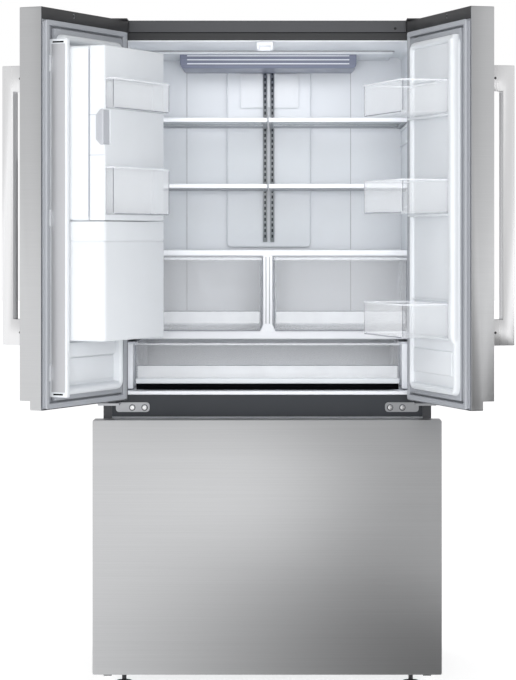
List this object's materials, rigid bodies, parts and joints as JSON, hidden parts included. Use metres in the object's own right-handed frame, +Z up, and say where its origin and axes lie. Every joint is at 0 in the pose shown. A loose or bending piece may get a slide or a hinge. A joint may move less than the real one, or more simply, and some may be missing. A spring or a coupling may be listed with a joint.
{
  "type": "french door refrigerator",
  "caption": "Free-standing refrigerator with double doors, door bins, ice room and dispenser over a bottom freezer drawer.",
  "frame": {"origin": "on the floor, under the middle of the box around the appliance with its doors open", "axes": "+Z up, the front faces -Y, +X to the viewer's right when facing it"},
  "size_m": [1.2654, 1.1242, 1.753],
  "materials": {
    "steel": "horizontally brushed stainless steel",
    "case_paint": "satin dark grey paint",
    "rail_paint": "satin blue-grey paint",
    "white_liner": "smooth satin white plastic",
    "door_frame": "grey moulded plastic",
    "gasket_grey": "soft grey magnetic seal",
    "clear_plastic": "clear polystyrene",
    "shelf_glass": "tempered glass with white trim",
    "black_plastic": "black moulded plastic",
    "zinc": "zinc plated steel",
    "galvanised": "galvanised sheet",
    "aluminium_fins": "aluminium fins",
    "compressor_paint": "gloss black enamel"
  },
  "bodies": {
    "cabinet": {"base_pan": "galvanised", "case_back": "galvanised", "case_side_left": "case_paint", "case_side_right": "case_paint", "case_top": "case_paint", "ceiling_lamp": "white_liner", "compressor": "compressor_paint", "condenser": "aluminium_fins", "crisper_frame": "white_liner", "evaporator": "aluminium_fins", "evaporator_cover": "white_liner", "freezer_liner": "white_liner", "fridge_liner": "white_liner", "machine_cover": "galvanised", "mid_hinge_left": "zinc", "mid_hinge_right": "zinc", "mid_rail": "rail_paint", "rear_duct": "white_liner", "shelf_ladder": "zinc", "shelf_middle_left": "shelf_glass", "shelf_middle_right": "shelf_glass", "shelf_upper_left": "shelf_glass", "shelf_upper_right": "shelf_glass", "top_rail": "case_paint", "upper_hinge_left": "black_plastic", "upper_hinge_right": "black_plastic"},
    "freezer_drawer": {"freezer_front_skin": "steel", "freezer_front_core": "door_frame", "freezer_gasket": "white_liner", "freezer_carriage": "galvanised", "freezer_bin": "white_liner"},
    "freezer_tray": {"freezer_tray": "clear_plastic"},
    "left_door": {"left_door_skin": "steel", "left_door_core": "door_frame", "left_door_liner": "white_liner", "left_door_gasket": "gasket_grey", "left_handle": "steel", "dispenser_housing": "black_plastic", "ice_bucket": "clear_plastic"},
    "mullion_flap": {"mullion_flap": "door_frame"},
    "dispenser_paddle": {"dispenser_paddle": "black_plastic"},
    "ice_room_door": {"ice_room_door": "white_liner", "dairy_bin": "clear_plastic", "milk_bin": "clear_plastic"},
    "ice_latch": {"ice_latch": "white_liner"},
    "right_door": {"right_door_skin": "steel", "right_door_core": "door_frame", "right_door_liner": "white_liner", "right_door_gasket": "gasket_grey", "right_handle": "steel", "right_bin_upper": "clear_plastic", "right_bin_middle": "clear_plastic", "right_bin_lower": "clear_plastic"},
    "crisper_left": {"crisper_left": "clear_plastic"},
    "crisper_right": {"crisper_right": "clear_plastic"},
    "pantry_drawer": {"pantry_drawer": "clear_plastic"},
    "condenser_fan": {"condenser_fan": "black_plastic"},
    "foot_left": {"foot_left": "black_plastic"},
    "foot_right": {"foot_right": "black_plastic"},
    "rear_rollers": {"rear_rollers": "black_plastic"}
  },
  "joints": [
    {"name": "left_door_hinge", "type": "hinge", "parent": "cabinet", "child": "left_door", "pos_m": [-0.398, -0.147, 1.25], "axis": [0, 0, -1], "range_deg": [-114.3, 8]},
    {"name": "right_door_hinge", "type": "hinge", "parent": "cabinet", "child": "right_door", "pos_m": [0.436, -0.147, 1.25], "axis": [0, 0, 1], "range_deg": [-107.3, 15]},
    {"name": "mullion_flap_hinge", "type": "hinge", "parent": "left_door", "child": "mullion_flap", "pos_m": [-0.51486, -0.52489, 1.23], "axis": [0, 0, 1], "range_deg": [-90, 0]},
    {"name": "ice_room_door_hinge", "type": "hinge", "parent": "left_door", "child": "ice_room_door", "pos_m": [-0.28024, -0.249, 1.44], "axis": [0, 0, 1], "range_deg": [0, 85]},
    {"name": "ice_latch_pivot", "type": "hinge", "parent": "ice_room_door", "child": "ice_latch", "pos_m": [-0.41098, -0.54634, 1.452], "axis": [0, 0, -1], "range_deg": [0, 8], "stiffness_Nm_per_rad": 0.3},
    {"name": "dispenser_paddle_pivot", "type": "hinge", "parent": "left_door", "child": "dispenser_paddle", "pos_m": [-0.43932, -0.33572, 1.18], "axis": [-0.4115, -0.9114, 0], "range_deg": [0, 8], "stiffness_Nm_per_rad": 1},
    {"name": "freezer_drawer_slide", "type": "slide", "parent": "cabinet", "child": "freezer_drawer", "axis": [0, -1, 0], "range_m": [0, 0.36]},
    {"name": "freezer_tray_slide", "type": "slide", "parent": "freezer_drawer", "child": "freezer_tray", "axis": [0, 1, 0], "range_m": [0, 0.07]},
    {"name": "crisper_left_slide", "type": "slide", "parent": "cabinet", "child": "crisper_left", "axis": [0, -1, 0], "range_m": [0, 0.18]},
    {"name": "crisper_right_slide", "type": "slide", "parent": "cabinet", "child": "crisper_right", "axis": [0, -1, 0], "range_m": [0, 0.18]},
    {"name": "pantry_drawer_slide", "type": "slide", "parent": "cabinet", "child": "pantry_drawer", "axis": [0, -1, 0], "range_m": [0, 0.28]},
    {"name": "condenser_fan_spin", "type": "hinge", "parent": "cabinet", "child": "condenser_fan", "pos_m": [-0.131, 0.455, 0.14], "axis": [1, 0, 0], "continuous": true},
    {"name": "rear_roller_spin", "type": "hinge", "parent": "cabinet", "child": "rear_rollers", "pos_m": [0.019, 0.51, 0.014], "axis": [1, 0, 0], "continuous": true},
    {"name": "foot_left_screw", "type": "hinge", "parent": "cabinet", "child": "foot_left", "pos_m": [-0.361, -0.03, 0], "axis": [0, 0, 1], "continuous": true},
    {"name": "foot_right_screw", "type": "hinge", "parent": "cabinet", "child": "foot_right", "pos_m": [0.399, -0.03, 0], "axis": [0, 0, 1], "continuous": true}
  ]
}
